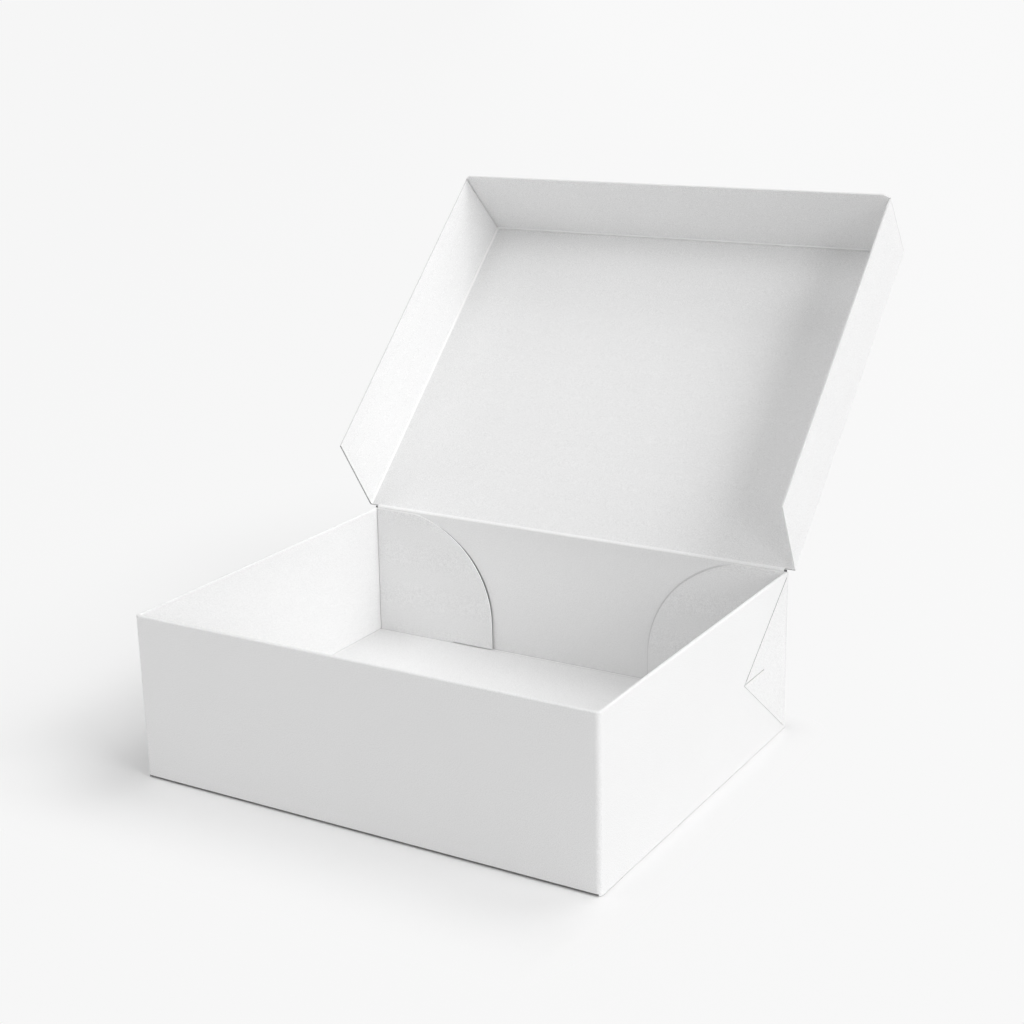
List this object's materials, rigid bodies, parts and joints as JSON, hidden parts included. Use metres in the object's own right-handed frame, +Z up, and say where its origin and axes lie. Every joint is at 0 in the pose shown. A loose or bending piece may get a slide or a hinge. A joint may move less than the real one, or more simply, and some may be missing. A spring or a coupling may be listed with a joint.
{
  "type": "pastry box",
  "caption": "Shallow white paperboard pastry box, open, with a flapped lid that turns on a crease along its back wall.",
  "frame": {"origin": "on the table, under the middle of the tray", "axes": "+Z up, -Y towards the front wall, +X to the right as seen from the front; the lid's crease runs along X at the back"},
  "size_m": [0.261, 0.3458, 0.2579],
  "materials": {
    "paperboard": "matte"
  },
  "bodies": {
    "tray": {"tray": "paperboard"},
    "lid": {"lid": "paperboard"}
  },
  "joints": [
    {"name": "lid_hinge", "type": "hinge", "parent": "tray", "child": "lid", "pos_m": [0, 0.0996, 0.0847], "axis": [-1, 0, 0], "range_deg": [-136.5, 63.5]}
  ]
}
